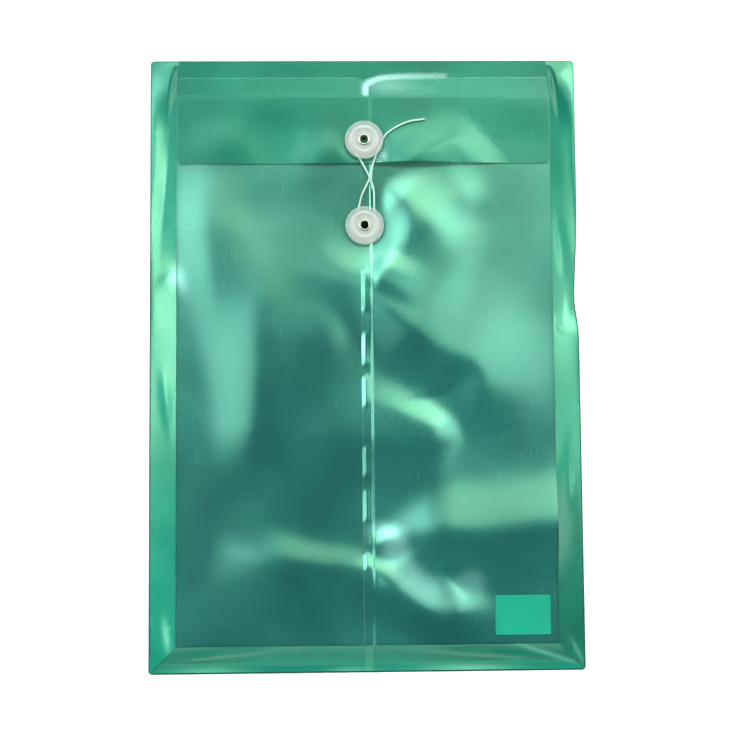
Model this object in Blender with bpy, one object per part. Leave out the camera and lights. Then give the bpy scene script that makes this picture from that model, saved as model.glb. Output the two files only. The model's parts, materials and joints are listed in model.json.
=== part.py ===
"""A4 string-and-button file folder in translucent film, lying on its back.

X is to the right, Y up the page towards the top fold, Z off the table. Metres.
"""

import math

import bmesh
import bpy
from mathutils import Vector

MM = 0.001

# Pouch
WIDTH = 240 * MM
HEIGHT = 342 * MM
FILM = 0.3 * MM
DEPTH = 9.0 * MM
GUSSET = 16 * MM
GUSSET_CURVE = 1.5
HEM = 6 * MM
HEM_FILM = 0.4 * MM
CORNER = 2 * MM
BRIM_INSET = 0.2 * MM
FRONT_DROP = 24 * MM
MOUTH_DROP = 11 * MM
MOUTH_CORNER = 5 * MM
LAP_LEFT = 2.2 * MM
LAP_RIGHT = 2.0 * MM
LAP_RAMP = 2.0 * MM

# Clearances
SEAT = 0.3 * MM
CREASE_GAP = 0.25 * MM
RIVET_SEAT = 0.1 * MM
RIVET_FIT = 0.4 * MM
ROLL_CLEAR = 0.15 * MM
FLAP_SIDE_GAP = 0.8 * MM

# Flap
SPINE = 22.8 * MM
FLAP_LENGTH = 61.4 * MM
FLAP_CORNER = 3 * MM
FOLD_INSET = 0.4 * MM

# Buttons, as distances from the top fold
UPPER_BUTTON_DROP = 49.0 * MM
LOWER_BUTTON_DROP = 96.6 * MM
DISC_RADIUS = 11 * MM
DISC_THICK = 1.0 * MM
DISC_EDGE = 0.3 * MM
RING_RADIUS = 6.7 * MM
RING_WIDTH = 1.0 * MM
RING_RISE = 0.2 * MM
BOSS_RADIUS = 5.0 * MM
GROOVE = 2.0 * MM

# Eyelets
SHANK_RADIUS = 2.5 * MM
EYELET_WALL = 0.4 * MM
FLANGE_RADIUS = 3.1 * MM
FLANGE_THICK = 0.4 * MM
ROLL_RADIUS = 3.2 * MM
WASHER_RADIUS = 4.6 * MM
WASHER_THICK = 0.4 * MM

# String
STRING = 1.2 * MM
STRING_LIFT = 0.3 * MM
STRING_CLEAR = 0.5 * MM
STRING_POINTS = 78
KNOT_RADIUS = 0.85 * MM

# Label
LABEL_WIDTH = 30.3 * MM
LABEL_HEIGHT = 21.3 * MM
LABEL_THICK = 0.3 * MM
LABEL_SIDE_INSET = 20.3 * MM
LABEL_FOOT_INSET = 20.9 * MM

ROUND_STEPS = 48

# Places that follow from the sizes above
CREASE_X = WIDTH / 2 - GUSSET
TOP = HEIGHT / 2
FOOT = -HEIGHT / 2
FOOT_CREASE = FOOT + GUSSET
FRONT_END = TOP - FRONT_DROP
MOUTH = TOP - MOUTH_DROP
FRONT_Z = FILM + DEPTH + FILM / 2
FRONT_TOP = FRONT_Z + FILM / 2
LAP_STEP = FILM + SEAT
LAP_TOP = FRONT_TOP + LAP_STEP
BRIM_Z = FILM + SEAT + HEM_FILM / 2
BRIM_SHARE = 1 - BRIM_INSET / GUSSET
LAP_END = LAP_RIGHT + SEAT + FILM
ROLL_DEPTH = RIVET_SEAT + WASHER_THICK + RIVET_SEAT + FLANGE_THICK
FLAP_Z = LAP_TOP + ROLL_CLEAR + ROLL_DEPTH + FILM / 2
FLAP_TOP = FLAP_Z + FILM / 2
FLAP_HALF = CREASE_X - FLAP_SIDE_GAP
FLAP_CREASE = TOP - SPINE
FLAP_EDGE = TOP - FLAP_LENGTH
FOLD_Y = TOP - FOLD_INSET
FOLD_Z = FILM + SEAT + FILM / 2
SPINE_SLOPE = (FLAP_Z - FOLD_Z) / (FOLD_Y - FLAP_CREASE)
LIP_Z = FOLD_Z + (FOLD_Y - MOUTH) * SPINE_SLOPE - FILM - SEAT - LAP_STEP
UPPER = TOP - UPPER_BUTTON_DROP
LOWER = TOP - LOWER_BUTTON_DROP
HOLE_RADIUS = SHANK_RADIUS + RIVET_FIT


def clear_scene():
    for obj in list(bpy.data.objects):
        bpy.data.objects.remove(obj, do_unlink=True)


def material(name, colour, rough, metal=0.0, alpha=1.0):
    made = bpy.data.materials.new(name)
    made.use_nodes = True
    shader = made.node_tree.nodes["Principled BSDF"]
    shader.inputs["Base Color"].default_value = (*colour, 1)
    shader.inputs["Roughness"].default_value = rough
    shader.inputs["Metallic"].default_value = metal
    shader.inputs["Alpha"].default_value = alpha
    return made


def add_object(name, data, paint, origin=(0, 0, 0)):
    obj = bpy.data.objects.new(name, data)
    obj.location = origin
    data.materials.append(paint)
    bpy.context.scene.collection.objects.link(obj)
    return obj


def sheet(name, rows, thick, paint, origin=(0, 0, 0)):
    """A film from rows of points on its middle surface, thickened both ways."""
    base = Vector(origin)
    mesh = bmesh.new()
    grid = [[mesh.verts.new(Vector(point) - base) for point in row] for row in rows]
    for lower, upper in zip(grid, grid[1:]):
        for i in range(len(lower) - 1):
            mesh.faces.new((lower[i], lower[i + 1], upper[i + 1], upper[i]))
    bmesh.ops.recalc_face_normals(mesh, faces=mesh.faces)
    return thickened(name, mesh, thick, paint, origin)


def plate(name, outline, height, thick, paint, origin=(0, 0, 0)):
    """A flat film from its outline, centred on this height."""
    base = Vector(origin)
    mesh = bmesh.new()
    corners = [mesh.verts.new(Vector((x, y, height)) - base) for x, y in outline]
    mesh.faces.new(corners)
    bmesh.ops.recalc_face_normals(mesh, faces=mesh.faces)
    return thickened(name, mesh, thick, paint, origin)


def thickened(name, mesh, thick, paint, origin):
    data = bpy.data.meshes.new(name)
    mesh.to_mesh(data)
    mesh.free()
    obj = add_object(name, data, paint, origin)
    solid = obj.modifiers.new("film", "SOLIDIFY")
    solid.thickness = thick
    solid.offset = 0
    solid.use_even_offset = True
    return obj


def rounded(left, right, low, high, radii):
    """Outline of a rectangle, counter-clockwise from the lower left, with its own radius at each corner."""
    corners = ((left, low, 180), (right, low, 270), (right, high, 0), (left, high, 90))
    outline = []
    for (x, y, start), radius in zip(corners, radii):
        if not radius:
            outline.append((x, y))
            continue
        middle_x = x + radius * (1 if x == left else -1)
        middle_y = y + radius * (1 if y == low else -1)
        for step in range(7):
            angle = math.radians(start + 15 * step)
            outline.append((middle_x + radius * math.cos(angle), middle_y + radius * math.sin(angle)))
    return outline


def turned(name, profile, paint, place):
    """A ring turned about Z from a closed profile of (radius, height)."""
    mesh = bmesh.new()
    corners = [mesh.verts.new((radius, 0, height)) for radius, height in profile]
    for i, corner in enumerate(corners):
        mesh.edges.new((corner, corners[(i + 1) % len(corners)]))
    data = bpy.data.meshes.new(name)
    mesh.to_mesh(data)
    mesh.free()
    obj = add_object(name, data, paint, place)
    screw = obj.modifiers.new("turn", "SCREW")
    screw.steps = ROUND_STEPS
    screw.render_steps = ROUND_STEPS
    screw.use_merge_vertices = True
    screw.merge_threshold = 0.00001
    screw.use_smooth_shade = True
    screw.use_normal_flip = True
    return obj


def rivet_hole(film, y, height):
    """Cuts the eyelet's hole through a film."""
    mesh = bmesh.new()
    bmesh.ops.create_cone(
        mesh, cap_ends=True, segments=ROUND_STEPS, radius1=HOLE_RADIUS, radius2=HOLE_RADIUS, depth=4 * MM
    )
    data = bpy.data.meshes.new(film.name + "_hole")
    mesh.to_mesh(data)
    mesh.free()
    cutter = bpy.data.objects.new(data.name, data)
    cutter.location = (0, y, height)
    cutter.hide_render = True
    cutter.display_type = "WIRE"
    bpy.context.scene.collection.objects.link(cutter)
    cut = film.modifiers.new("rivet hole", "BOOLEAN")
    cut.operation = "DIFFERENCE"
    cut.solver = "EXACT"
    cut.object = cutter


def brim_height(share):
    """Height of a gusset strip's middle surface, from the crease (0) to the back's edge (1)."""
    return BRIM_Z + (FRONT_Z - BRIM_Z) * (1 - share) ** GUSSET_CURVE


def side_gusset(name, side, paint):
    """A strip from the front's side crease down to the outer edge, mitred at the foot."""
    steps = 6
    inner = CREASE_GAP / GUSSET
    rows = []
    for end in (0, 1):
        row = []
        for i in range(steps + 1):
            share = inner + (BRIM_SHARE - inner) * i / steps
            mitre = FOOT_CREASE - GUSSET * share + 1.5 * CREASE_GAP
            row.append((side * (CREASE_X + GUSSET * share), (mitre, TOP)[end], brim_height(share)))
        rows.append(row)
    return sheet(name, rows, FILM, paint)


def foot_strip(name, start, end, thick, paint):
    """Part of the strip below the front's foot crease, between two shares of its width, mitred at both ends."""
    steps = 5
    rows = []
    for side in (-1, 1):
        row = []
        for i in range(steps + 1):
            share = start + (end - start) * i / steps
            half = CREASE_X + GUSSET * share - 1.5 * CREASE_GAP
            row.append((side * half, FOOT_CREASE - GUSSET * share, brim_height(share)))
        rows.append(row)
    return sheet(name, rows, thick, paint)


def lap_rise(x):
    """How far the right half stands up over the left one: all of the lap step on the lap, none past the ramp."""
    return LAP_STEP * min(max((LAP_END + LAP_RAMP - x) / LAP_RAMP, 0), 1)


def front_half(name, columns, rise, low, paint):
    """One half of the front, flat but for its rise at the lap."""
    rows = [[(x, y, FRONT_Z + rise(x)) for x in columns] for y in (low, FRONT_END - CREASE_GAP)]
    return sheet(name, rows, FILM, paint)


def mouth_lip(name, columns, rise, seam, side, paint):
    """The strip that dips under the flap from the front's top crease to the mouth, with a round corner at the seam."""
    corner = [seam + side * MOUTH_CORNER * (1 - math.cos(math.radians(15 * step))) for step in range(7)]
    stations = sorted({*columns, *corner})
    base = []
    mouth = []
    for x in stations:
        inward = min(abs(x - seam) / MOUTH_CORNER, 1)
        top = MOUTH - MOUTH_CORNER * (1 - math.sqrt(1 - (1 - inward) ** 2))
        start = FRONT_END + CREASE_GAP
        fall = (FRONT_Z - LIP_Z) / (MOUTH - FRONT_END)
        base.append((x, start, FRONT_Z + rise(x) - fall * CREASE_GAP))
        mouth.append((x, top, FRONT_Z + rise(x) - fall * (top - FRONT_END)))
    return sheet(name, [base, mouth], FILM, paint)


def button_profile():
    """Boss, flange with a rounded rim, and a low ring on its face. The bore takes the eyelet."""
    bore = SHANK_RADIUS + RIVET_FIT
    face = GROOVE + DISC_THICK
    bevel = DISC_EDGE
    half_ring = RING_WIDTH / 2
    return [
        (bore, 0),
        (BOSS_RADIUS, 0),
        (BOSS_RADIUS, GROOVE),
        (DISC_RADIUS - bevel, GROOVE),
        (DISC_RADIUS - 0.3 * bevel, GROOVE + 0.3 * bevel),
        (DISC_RADIUS, GROOVE + bevel),
        (DISC_RADIUS, face - bevel),
        (DISC_RADIUS - 0.3 * bevel, face - 0.3 * bevel),
        (DISC_RADIUS - bevel, face),
        (RING_RADIUS + half_ring + RING_RISE, face),
        (RING_RADIUS + half_ring, face + RING_RISE),
        (RING_RADIUS - half_ring, face + RING_RISE),
        (RING_RADIUS - half_ring - RING_RISE, face),
        (bore, face),
    ]


def eyelet_profile(film_stack):
    """Tube with a domed flange on the button and a rolled flange under the washer. Height 0 is the button's foot."""
    bore = SHANK_RADIUS - EYELET_WALL
    top = GROOVE + DISC_THICK + RIVET_SEAT
    roll = -(RIVET_SEAT + film_stack + 2 * RIVET_SEAT + WASHER_THICK)
    third = FLANGE_THICK / 3
    return [
        (bore, roll - FLANGE_THICK + third),
        (bore + third, roll - FLANGE_THICK),
        (ROLL_RADIUS - third, roll - FLANGE_THICK),
        (ROLL_RADIUS, roll - FLANGE_THICK + third),
        (ROLL_RADIUS, roll),
        (SHANK_RADIUS, roll),
        (SHANK_RADIUS, top),
        (FLANGE_RADIUS, top),
        (FLANGE_RADIUS, top + third),
        (FLANGE_RADIUS - third, top + FLANGE_THICK),
        (bore + third, top + FLANGE_THICK),
        (bore, top + third),
    ]


def washer_profile():
    bore = SHANK_RADIUS + RIVET_FIT
    return [(bore, 0), (WASHER_RADIUS, 0), (WASHER_RADIUS, WASHER_THICK), (bore, WASHER_THICK)]


def riveted_button(name, y, film_top, film_stack, paints):
    """A button, its eyelet and the washer under the film."""
    foot = film_top + RIVET_SEAT
    turned(name + "_button", button_profile(), paints["disc"], (0, y, foot))
    turned(name + "_eyelet", eyelet_profile(film_stack), paints["metal"], (0, y, foot))
    washer_z = film_top - film_stack - RIVET_SEAT - WASHER_THICK
    turned(name + "_eyelet_washer", washer_profile(), paints["washer"], (0, y, washer_z))


def string_route():
    """The string's own points, from the knot to the bare end."""
    on_flap = FLAP_TOP + STRING_LIFT + STRING / 2
    on_front = LAP_TOP + STRING_LIFT + STRING / 2
    first = BOSS_RADIUS + STRING_CLEAR + STRING / 2
    turn = KNOT_RADIUS + STRING / 2 + STRING_CLEAR
    points = []
    for step in range(16):
        angle = math.radians(175 + 28 * step)
        radius = first + turn * step / 13
        points.append((radius * math.cos(angle), UPPER + radius * math.sin(angle), on_flap))
    span = UPPER - LOWER
    cross_y = UPPER - 0.44 * span
    edge_clear = max(FLAP_TOP + STRING_LIFT + STRING / 2, on_flap)
    under = (edge_clear + on_front) / 2
    over = under + STRING + STRING_CLEAR
    points.append((-2.7 * MM, UPPER - 9.9 * MM, edge_clear))
    points.append((-0.3 * MM, UPPER - 14.2 * MM, edge_clear))
    points.append((3.1 * MM, cross_y, under))
    points.append((5.1 * MM, UPPER - 0.57 * span, (under + on_front) / 2))
    points.append((5.4 * MM, LOWER + 10.2 * MM, on_front))
    for step in range(8):
        angle = math.radians(8 - 28 * step)
        points.append((first * math.cos(angle), LOWER + first * math.sin(angle), on_front))
    points.append((-3.2 * MM, LOWER + 10.2 * MM, on_front))
    points.append((-1.5 * MM, UPPER - 0.65 * span, (on_front + over) / 2))
    points.append((3.1 * MM, cross_y, over))
    points.append((5.0 * MM, UPPER - 13.0 * MM, edge_clear + 0.3 * MM))
    reach = first + turn + STRING + STRING_CLEAR
    points.append((reach * math.cos(math.radians(-40)), UPPER + reach * math.sin(math.radians(-40)), on_flap))
    points.append((reach * math.cos(math.radians(-8)), UPPER + reach * math.sin(math.radians(-8)), on_flap))
    points.append((12.0 * MM, UPPER + 3.2 * MM, on_flap))
    points.append((17.5 * MM, UPPER + 7.3 * MM, on_flap))
    points.append((25.0 * MM, UPPER + 10.6 * MM, on_flap))
    points.append((34.0 * MM, UPPER + 12.0 * MM, on_flap))
    return [Vector(point) for point in points]


def smooth_points(route, count):
    """Even points on a smooth curve through the route (centripetal Catmull-Rom)."""
    ends = [2 * route[0] - route[1], *route, 2 * route[-1] - route[-2]]
    fine = []
    for a, b, c, d in zip(ends, ends[1:], ends[2:], ends[3:]):
        t1 = (b - a).length ** 0.5
        t2 = t1 + (c - b).length ** 0.5
        t3 = t2 + (d - c).length ** 0.5
        for step in range(24):
            t = t1 + (t2 - t1) * step / 24
            ab = a.lerp(b, t / t1)
            bc = b.lerp(c, (t - t1) / (t2 - t1))
            cd = c.lerp(d, (t - t2) / (t3 - t2))
            fine.append(ab.lerp(bc, t / t2).lerp(bc.lerp(cd, (t - t1) / (t3 - t1)), (t - t1) / (t2 - t1)))
    fine.append(route[-1])
    along = [0.0]
    for a, b in zip(fine, fine[1:]):
        along.append(along[-1] + (b - a).length)
    even = []
    at = 0
    for step in range(count):
        want = along[-1] * step / (count - 1)
        while at < len(fine) - 2 and along[at + 1] < want:
            at += 1
        even.append(fine[at].lerp(fine[at + 1], (want - along[at]) / (along[at + 1] - along[at])))
    return even, along[-1]


def least_gap(points, spacing):
    """Least gap of the tube to itself, leaving out neighbours along it."""
    apart = int(6 * MM / spacing) + 1
    gaps = [
        (a - b).length - STRING for i, a in enumerate(points) for b in points[i + apart :]
    ]
    return min(gaps)


def tie_string(paint):
    points, length = smooth_points(string_route(), STRING_POINTS)
    dense, _ = smooth_points(string_route(), 900)
    print(f"string length {length / MM:.1f} mm, least gap to itself {least_gap(dense, length / 899) / MM:.2f} mm")
    curve = bpy.data.curves.new("tie_string", "CURVE")
    curve.dimensions = "3D"
    curve.bevel_depth = STRING / 2
    curve.bevel_resolution = 2
    curve.use_fill_caps = True
    spline = curve.splines.new("POLY")
    spline.points.add(len(points) - 1)
    for place, point in zip(spline.points, points):
        place.co = (*point, 1)
    add_object("tie_string", curve, paint)
    return points[0], (points[0] - points[1]).normalized()


def string_knot(start, outward, paint):
    """A small round knot just before the string's start."""
    mesh = bmesh.new()
    bmesh.ops.create_icosphere(mesh, subdivisions=3, radius=KNOT_RADIUS)
    for face in mesh.faces:
        face.smooth = True
    data = bpy.data.meshes.new("string_knot")
    mesh.to_mesh(data)
    mesh.free()
    add_object("string_knot", data, paint, start + outward * (KNOT_RADIUS + SEAT))


def build():
    clear_scene()
    green = (0.035, 0.30, 0.22)
    paints = {
        "disc": material("frosted_disc", (0.62, 0.68, 0.66), 0.45, alpha=0.8),
        "metal": material("nickel", (0.75, 0.76, 0.73), 0.25, metal=1.0),
        "washer": material("clear_washer", (0.6, 0.68, 0.65), 0.4, alpha=0.8),
    }
    back = material("back_film", (0.02, 0.16, 0.13), 0.3, alpha=0.8)
    front = material("front_film", (0.03, 0.22, 0.18), 0.25, alpha=0.75)
    strip = material("gusset_film", (0.045, 0.40, 0.25), 0.25, alpha=0.75)
    flap = material("flap_film", green, 0.25, alpha=0.7)
    cord = material("white_string", (0.72, 0.86, 0.80), 0.8)
    sticker = material("label_paper", (0.04, 0.50, 0.32), 0.6)

    plate("back_panel", rounded(-WIDTH / 2, WIDTH / 2, FOOT, TOP, [CORNER] * 4), FILM / 2, FILM, back)

    side = CREASE_X - CREASE_GAP
    low = FOOT_CREASE + CREASE_GAP
    left_ends = (-side, LAP_RIGHT)
    right_ends = (-LAP_LEFT, LAP_END, LAP_END + LAP_RAMP, side)
    left = front_half("front_left_panel", left_ends, lambda x: 0, low, front)
    right = front_half("front_right_panel", right_ends, lap_rise, low, front)
    rivet_hole(left, LOWER, FRONT_Z)
    rivet_hole(right, LOWER, FRONT_Z + LAP_STEP)
    mouth_lip("front_left_lip", left_ends, lambda x: 0, LAP_RIGHT, -1, front)
    mouth_lip("front_right_lip", right_ends, lap_rise, -LAP_LEFT, 1, front)

    side_gusset("left_gusset", -1, strip)
    side_gusset("right_gusset", 1, strip)
    hem_share = 1 - HEM / GUSSET
    foot_strip("bottom_gusset", CREASE_GAP / GUSSET, hem_share - CREASE_GAP / GUSSET, FILM, strip)
    foot_strip("bottom_hem", hem_share + CREASE_GAP / GUSSET, BRIM_SHARE, HEM_FILM, strip)

    fold = Vector((0, FOLD_Y, FOLD_Z))
    crease = Vector((0, FLAP_CREASE, FLAP_Z))
    rise = (crease - fold).normalized()
    start = fold
    end = crease - rise * CREASE_GAP
    rows = [[(x, point.y, point.z) for x in (-FLAP_HALF, FLAP_HALF)] for point in (start, end)]
    sheet("flap_spine", rows, FILM, flap, fold)
    outline = rounded(
        -FLAP_HALF, FLAP_HALF, FLAP_EDGE, FLAP_CREASE - CREASE_GAP, [FLAP_CORNER, FLAP_CORNER, 0, 0]
    )
    panel = plate("flap_panel", outline, FLAP_Z, FILM, flap, crease)
    rivet_hole(panel, UPPER, FLAP_Z)

    riveted_button("upper", UPPER, FLAP_TOP, FILM, paints)
    riveted_button("lower", LOWER, LAP_TOP, FILM + LAP_STEP, paints)

    knot_at, outward = tie_string(cord)
    string_knot(knot_at, outward, cord)

    label_right = WIDTH / 2 - LABEL_SIDE_INSET
    label_low = FOOT + LABEL_FOOT_INSET
    label_outline = rounded(
        label_right - LABEL_WIDTH, label_right, label_low, label_low + LABEL_HEIGHT, [0.5 * MM] * 4
    )
    plate("blank_label", label_outline, FRONT_TOP + SEAT + LABEL_THICK / 2, LABEL_THICK, sticker)


build()
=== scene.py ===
"""Looks of an A4 string-and-button file folder in green polypropylene film, lying on its back.

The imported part's frame: X to the right, Y up towards the top fold, Z off the table.
Shapes are worked out in millimetres, and each piece is made in metres.
"""

import json
import math

import bpy
import numpy as np
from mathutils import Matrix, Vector


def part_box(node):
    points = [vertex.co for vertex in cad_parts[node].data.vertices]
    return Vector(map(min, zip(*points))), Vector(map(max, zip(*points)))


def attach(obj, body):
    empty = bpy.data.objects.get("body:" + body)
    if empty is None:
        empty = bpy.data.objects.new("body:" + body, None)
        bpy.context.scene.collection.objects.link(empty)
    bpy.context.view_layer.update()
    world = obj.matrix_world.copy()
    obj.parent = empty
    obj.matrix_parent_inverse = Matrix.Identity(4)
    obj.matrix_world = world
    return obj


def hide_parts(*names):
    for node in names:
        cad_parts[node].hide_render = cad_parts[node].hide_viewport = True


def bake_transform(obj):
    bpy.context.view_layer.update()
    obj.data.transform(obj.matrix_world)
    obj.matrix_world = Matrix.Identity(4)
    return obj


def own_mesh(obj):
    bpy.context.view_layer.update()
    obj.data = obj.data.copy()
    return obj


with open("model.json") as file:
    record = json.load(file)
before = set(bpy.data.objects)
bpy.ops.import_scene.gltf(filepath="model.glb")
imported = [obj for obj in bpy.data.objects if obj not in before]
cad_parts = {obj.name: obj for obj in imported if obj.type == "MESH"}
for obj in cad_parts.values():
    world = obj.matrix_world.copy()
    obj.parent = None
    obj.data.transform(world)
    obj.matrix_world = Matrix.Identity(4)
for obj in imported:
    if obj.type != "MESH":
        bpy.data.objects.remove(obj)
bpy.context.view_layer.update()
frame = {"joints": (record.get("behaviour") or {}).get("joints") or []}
MM = 0.001


# Sizes and places read from the frame, in millimetres
def box_mm(name):
    low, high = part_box(name)
    return low / MM, high / MM


def joint_mm(name):
    found = next(joint for joint in frame["joints"] if joint["name"] == name)
    return Vector(found["pos_m"]) / MM


# The solids stop this far short of each crease, and the flap this far short of the side creases
CREASE_GAP = 0.25
FLAP_MARGIN = 0.1
back_low, back_high = box_mm("back_panel")
left_low, left_high = box_mm("front_left_panel")
right_low, right_high = box_mm("front_right_panel")
lip_low, lip_high = box_mm("front_left_lip")
flap_low, flap_high = box_mm("flap_panel")
hem_low, hem_high = box_mm("bottom_hem")
HALF = back_high.x
TOP = back_high.y
FOOT = back_low.y
FILM = back_high.z - back_low.z
CREASE_X = CREASE_GAP - left_low.x
FOOT_CREASE = left_low.y - CREASE_GAP
FRONT_END = left_high.y + CREASE_GAP
FRONT_Z = (left_low.z + left_high.z) / 2
LAP_LEFT = right_low.x
LAP_RIGHT = left_high.x
LAP_STEP = right_high.z - left_high.z
MOUTH = lip_high.y
LIP_FALL = (lip_high.z - lip_low.z - FILM) / (lip_high.y - lip_low.y)
GUSSET = HALF - CREASE_X
HEM = hem_high.y - FOOT
FLAP_HALF = CREASE_X - FLAP_MARGIN
FLAP_EDGE = flap_low.y
FLAP_Z = (flap_low.z + flap_high.z) / 2
FOLD = joint_mm("flap_open")
FLAP_CREASE = joint_mm("flap_crease")
UPPER = joint_mm("upper_button_turn").y
LOWER = joint_mm("lower_button_turn").y

# Film shapes, in millimetres: the height of the strips' outer edge, the power of the foot strip's fall,
# and the weld where the back film shows outside the strips
BRIM_Z = FILM * 1.6
FOOT_CURVE = 1.5
WELD = 0.8
# Rounded corners, the ramp that takes the right half up over the left one, and the spacing of a film's points
CORNER = 2
FLAP_CORNER = 3
MOUTH_CORNER = 8
LABEL_CORNER = 0.5
LAP_RAMP = 2.0
LAP_FLAT = LAP_RIGHT + 0.6
CELL = 1.3
FINE_CELL = 0.4
# Thicknesses: the welded hem, the folded top edge and the label; and flat widths over widths seen from above
HEM_FILM = 1.3 * FILM
FOLD_FILM = 0.8 * FILM
LABEL_FILM = 0.12
GUSSET_SLOPE = 1.2
FOOT_SLOPE = 1.3
# The flap's middle stays this far above the front's, and eases on to it over about this much height
FLAP_CLEAR = 0.6
FLAP_SOFT = 0.2


def smooth(share):
    """0 to 1 with soft ends."""
    share = np.clip(share, 0, 1)
    return share * share * (3 - 2 * share)


def stations(*stops):
    """Places from each stop to the next, in even steps: (start, (end, step), (end, step) ...)."""
    places = [stops[0]]
    for end, step in stops[1:]:
        count = max(1, round(abs(end - places[-1]) / step))
        places.extend(np.linspace(places[-1], end, count + 1)[1:])
    return np.array(places)


# Materials
def linear(code):
    """An sRGB hex colour as linear red, green and blue."""
    parts = [int(code[i : i + 2], 16) / 255 for i in (1, 3, 5)]
    return [part / 12.92 if part <= 0.04045 else ((part + 0.055) / 1.055) ** 2.4 for part in parts]


def node(tree, kind, inputs, **settings):
    """Adds a node: settings are its properties, inputs its sockets' values or the sockets that feed them."""
    made = tree.nodes.new("ShaderNode" + kind)
    for key, value in settings.items():
        setattr(made, key, value)
    for key, value in inputs.items():
        if isinstance(value, bpy.types.NodeSocket):
            tree.links.new(value, made.inputs[key])
        else:
            made.inputs[key].default_value = value
    return made


def new_paint(name):
    paint = bpy.data.materials.new(name)
    paint.use_nodes = True
    return paint, paint.node_tree, paint.node_tree.nodes["Principled BSDF"]


def rgba(code):
    return (*linear(code), 1)


# A Mix node's sockets for its two colours, and for the mixed one
MIX_A, MIX_B, MIX_OUT = 6, 7, 2

# The film's tints: crease whitening with painted highlights, painted highlight on a cut edge, painted shade
WHITENING_AND_HIGHLIGHT = "#C5F7F7"
EDGE_HIGHLIGHT = "#D9F7F7"
PAINTED_SHADE = "#0B3A33"
# Every face of the stacked film reflects, so one face with a high index stands for them all
STACKED_INDEX = 2.16


def polypropylene_film(name, tint, deep, alpha, rough, gloss, whitening_and_highlight_tint=WHITENING_AND_HIGHLIGHT):
    """Extruded polypropylene film, tinted through and clear enough to show what lies under it. It is
    glossy, with soft clouds and hairline scuffs. It whitens along a crease, is painted paler where painted
    highlights lie and along a cut edge, and darker and denser where painted shade lies. The scuffs are too
    fine to show, so they are drawn about ten times as wide as they are."""
    paint, tree, shader = new_paint(name)
    place = node(tree, "TexCoord", {}).outputs["Object"]
    cloud = node(tree, "TexNoise", {"Vector": place, "Scale": 1 / (45 * MM), "Detail": 2.0}).outputs[0]
    stretch = (1 / (1.6 * MM), 1 / (26 * MM), 1)
    drag = node(tree, "Mapping", {"Vector": place, "Scale": stretch, "Rotation": (0, 0, 0.5)})
    scuff = node(tree, "TexNoise", {"Vector": drag.outputs[0], "Scale": 1.0, "Detail": 3.0})
    scuffed = node(tree, "MapRange", {"Value": scuff.outputs[0], "From Min": 0.66, "From Max": 0.74})
    tone = node(tree, "MapRange", {"Value": cloud, "From Min": 0.35, "From Max": 0.65})
    colour = node(tree, "Mix", {0: tone.outputs[0], MIX_A: rgba(deep), MIX_B: rgba(tint)}, data_type="RGBA")
    marks = {}
    # Marks: crease holds crease whitening and painted highlights, cut_edge a painted highlight, shade painted
    # shade
    for mark, shown in (("crease", whitening_and_highlight_tint), ("cut_edge", EDGE_HIGHLIGHT), ("shade", PAINTED_SHADE)):
        marks[mark] = node(tree, "Attribute", {}, attribute_name=mark).outputs["Fac"]
        laid = {0: marks[mark], MIX_A: colour.outputs[MIX_OUT], MIX_B: rgba(shown)}
        colour = node(tree, "Mix", laid, data_type="RGBA")
    limits = {"From Min": 0.3, "From Max": 0.7, "To Min": rough - 0.04, "To Max": rough + 0.06}
    dull = node(tree, "MapRange", {"Value": cloud, **limits})
    worn = node(tree, "Math", {0: scuffed.outputs[0], 1: 0.04, 2: dull.outputs[0]}, operation="MULTIPLY_ADD")
    # Painted shade also makes the film more opaque
    dense = node(tree, "MapRange", {"Value": marks["shade"], "From Min": 0.5, "To Min": alpha})
    tree.links.new(colour.outputs[MIX_OUT], shader.inputs["Base Color"])
    tree.links.new(worn.outputs[0], shader.inputs["Roughness"])
    tree.links.new(dense.outputs[0], shader.inputs["Alpha"])
    shader.inputs["IOR"].default_value = STACKED_INDEX
    shader.inputs["Specular IOR Level"].default_value = gloss
    shader.inputs["Specular Tint"].default_value = rgba("#90FFD4")
    shader.inputs["Coat Weight"].default_value = gloss / 4
    shader.inputs["Coat Roughness"].default_value = 0.14
    shader.inputs["Coat IOR"].default_value = STACKED_INDEX
    return paint


# A button's disc grows clearer between these distances from its middle, in millimetres
MILKY_TO = 7.4
CLEAR_FROM = 9.2


def frosted_polypropylene(name, tint, deep, alpha, thin, centre):
    """Moulded natural polypropylene: milky, satin and half clear, clearest at its thin rim. The mould's
    grit is drawn a few times as coarse as it is, to show."""
    paint, tree, shader = new_paint(name)
    place = node(tree, "TexCoord", {}).outputs["Object"]
    haze = node(tree, "TexNoise", {"Vector": place, "Scale": 1 / (5 * MM), "Detail": 3.0})
    grit = node(tree, "TexNoise", {"Vector": place, "Scale": 1 / (0.35 * MM), "Detail": 2.0})
    body = node(tree, "Mix", {0: haze.outputs[0], MIX_A: rgba(deep), MIX_B: rgba(tint)}, data_type="RGBA")
    dull = node(tree, "MapRange", {"Value": haze.outputs[0], "To Min": 0.32, "To Max": 0.5})
    own = node(tree, "Mapping", {"Vector": place, "Location": (0, -centre * MM, 0), "Scale": (1, 1, 0)})
    out = node(tree, "VectorMath", {0: own.outputs[0]}, operation="LENGTH")
    limits = {"From Min": MILKY_TO * MM, "From Max": CLEAR_FROM * MM, "To Min": alpha, "To Max": thin}
    clear = node(tree, "MapRange", {"Value": out.outputs["Value"], **limits}, interpolation_type="SMOOTHSTEP")
    bump = node(tree, "Bump", {"Height": grit.outputs[0], "Strength": 0.12, "Distance": 0.05 * MM})
    tree.links.new(body.outputs[MIX_OUT], shader.inputs["Base Color"])
    tree.links.new(dull.outputs[0], shader.inputs["Roughness"])
    tree.links.new(bump.outputs[0], shader.inputs["Normal"])
    tree.links.new(clear.outputs[0], shader.inputs["Alpha"])
    shader.inputs["IOR"].default_value = 1.49
    return paint


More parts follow.
